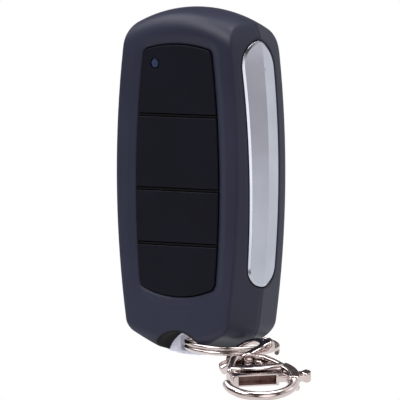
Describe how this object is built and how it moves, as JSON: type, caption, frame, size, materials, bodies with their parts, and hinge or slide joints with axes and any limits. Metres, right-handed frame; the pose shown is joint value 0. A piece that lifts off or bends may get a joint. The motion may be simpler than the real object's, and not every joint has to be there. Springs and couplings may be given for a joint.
{
  "type": "gate remote control",
  "caption": "Handheld gate remote with pressing keys, silver side strips, key loop, split ring and snap hook.",
  "frame": {"origin": "centre of the flat back face", "axes": "+Z along the fob toward its top, +X to the right seen from the keys, keys face -Y"},
  "size_m": [0.0545, 0.034, 0.0831],
  "materials": {
    "shell_plastic": "satin, fine grain",
    "key_plastic": "matt, nearly black",
    "strip_silver": "silver paint, satin",
    "inner_plastic": "black",
    "seal_rubber": "soft sheet",
    "clear_pipe": "clear bluish grey",
    "board_green": "solder mask",
    "plunger_plastic": "off-white",
    "lamp_plastic": "clear red",
    "steel": "plain",
    "copper": "bare copper",
    "loop_chrome": "bright",
    "nickel": "bright nickel plate"
  },
  "bodies": {
    "housing": {"front_shell": "shell_plastic", "rear_shell": "shell_plastic", "case_screws": "steel", "side_trim_left": "strip_silver", "side_trim_right": "strip_silver", "key_frame": "inner_plastic", "key_seal": "seal_rubber", "light_pipe": "clear_pipe", "circuit_board": "board_green", "switch_bodies": "inner_plastic", "status_led": "lamp_plastic", "coin_cell": "steel", "battery_clip": "steel", "battery_contact": "steel", "controller_chip": "inner_plastic", "resonator": "steel", "antenna_loop": "copper", "key_loop": "loop_chrome"},
    "key_1": {"key_1": "key_plastic", "switch_plunger_1": "plunger_plastic"},
    "key_2": {"key_2": "key_plastic", "switch_plunger_2": "plunger_plastic"},
    "key_3": {"key_3": "key_plastic", "switch_plunger_3": "plunger_plastic"},
    "key_4": {"key_4": "key_plastic", "switch_plunger_4": "plunger_plastic"},
    "ring": {"split_ring": "nickel"},
    "eye": {"swivel_eye": "nickel"},
    "hook": {"hook_body": "nickel", "gate_pin": "nickel", "gate_spring": "nickel"},
    "gate": {"gate_lever": "nickel"}
  },
  "joints": [
    {"name": "key_1_press", "type": "slide", "parent": "housing", "child": "key_1", "axis": [0, 1, 0], "range_m": [0, 0.00025], "stiffness_N_per_m": 4000, "springref_m": -0.00005},
    {"name": "key_2_press", "type": "slide", "parent": "housing", "child": "key_2", "axis": [0, 1, 0], "range_m": [0, 0.00025], "stiffness_N_per_m": 4000, "springref_m": -0.00005},
    {"name": "key_3_press", "type": "slide", "parent": "housing", "child": "key_3", "axis": [0, 1, 0], "range_m": [0, 0.00025], "stiffness_N_per_m": 4000, "springref_m": -0.00005},
    {"name": "key_4_press", "type": "slide", "parent": "housing", "child": "key_4", "axis": [0, 1, 0], "range_m": [0, 0.00025], "stiffness_N_per_m": 4000, "springref_m": -0.00005},
    {"name": "ring_swing", "type": "hinge", "parent": "housing", "child": "ring", "pos_m": [-0.00206, -0.00785, -0.035], "axis": [-0.1856, 0.9802, 0.0694], "range_deg": [0, 75]},
    {"name": "eye_swing", "type": "hinge", "parent": "ring", "child": "eye", "pos_m": [0.01578, -0.0118, -0.03668], "axis": [-0.5882, -0.8087, 0.0035], "range_deg": [-4, 30]},
    {"name": "hook_swivel", "type": "hinge", "parent": "eye", "child": "hook", "pos_m": [0.01777, -0.01368, -0.03706], "axis": [0.6666, -0.6614, -0.3438], "continuous": true},
    {"name": "gate_hinge", "type": "hinge", "parent": "hook", "child": "gate", "pos_m": [0.03148, -0.01545, -0.04069], "axis": [0.2132, -0.2728, 0.9382], "range_deg": [0, 20], "stiffness_Nm_per_rad": 0.02, "springref_deg": -11.46}
  ]
}
